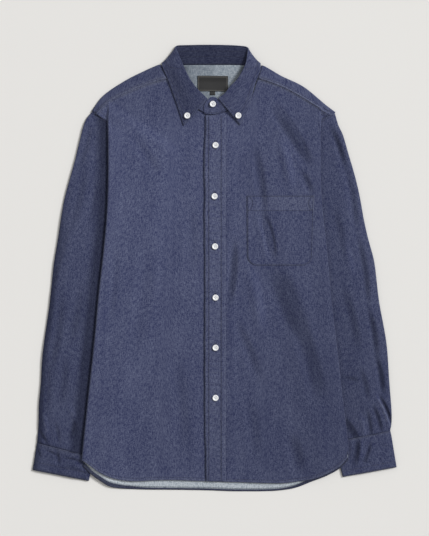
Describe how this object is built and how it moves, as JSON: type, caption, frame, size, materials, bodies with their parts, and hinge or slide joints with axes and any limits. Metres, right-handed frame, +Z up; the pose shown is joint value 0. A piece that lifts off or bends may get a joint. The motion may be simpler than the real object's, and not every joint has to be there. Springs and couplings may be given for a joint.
{
  "type": "denim shirt laid flat",
  "caption": "Long-sleeved denim shirt with a button-down collar, chest pocket and curved hem, buttoned and laid flat on its back.",
  "frame": {"origin": "middle of the shirt's box, on the surface it lies on", "axes": "+X towards the wearer's left side, +Y towards the collar, +Z up from the surface"},
  "size_m": [0.655, 0.8032, 0.0154],
  "materials": {
    "denim": "matte",
    "denim_inside": "matte",
    "label_cloth": "matte",
    "button": "satin"
  },
  "bodies": {
    "root": {"back_panel": "denim", "yoke": "denim", "front_right": "denim", "front_left": "denim", "placket": "denim", "pocket": "denim", "collar_stand": "denim", "collar_fall": "denim", "sleeve_right": "denim", "sleeve_left": "denim", "cuff_right": "denim", "cuff_left": "denim", "label": "label_cloth", "size_tab": "label_cloth", "button_stand": "button", "button_placket_1": "button", "button_placket_2": "button", "button_placket_3": "button", "button_placket_4": "button", "button_placket_5": "button", "button_placket_6": "button", "button_collar_right": "button", "button_collar_left": "button"}
  },
  "joints": []
}
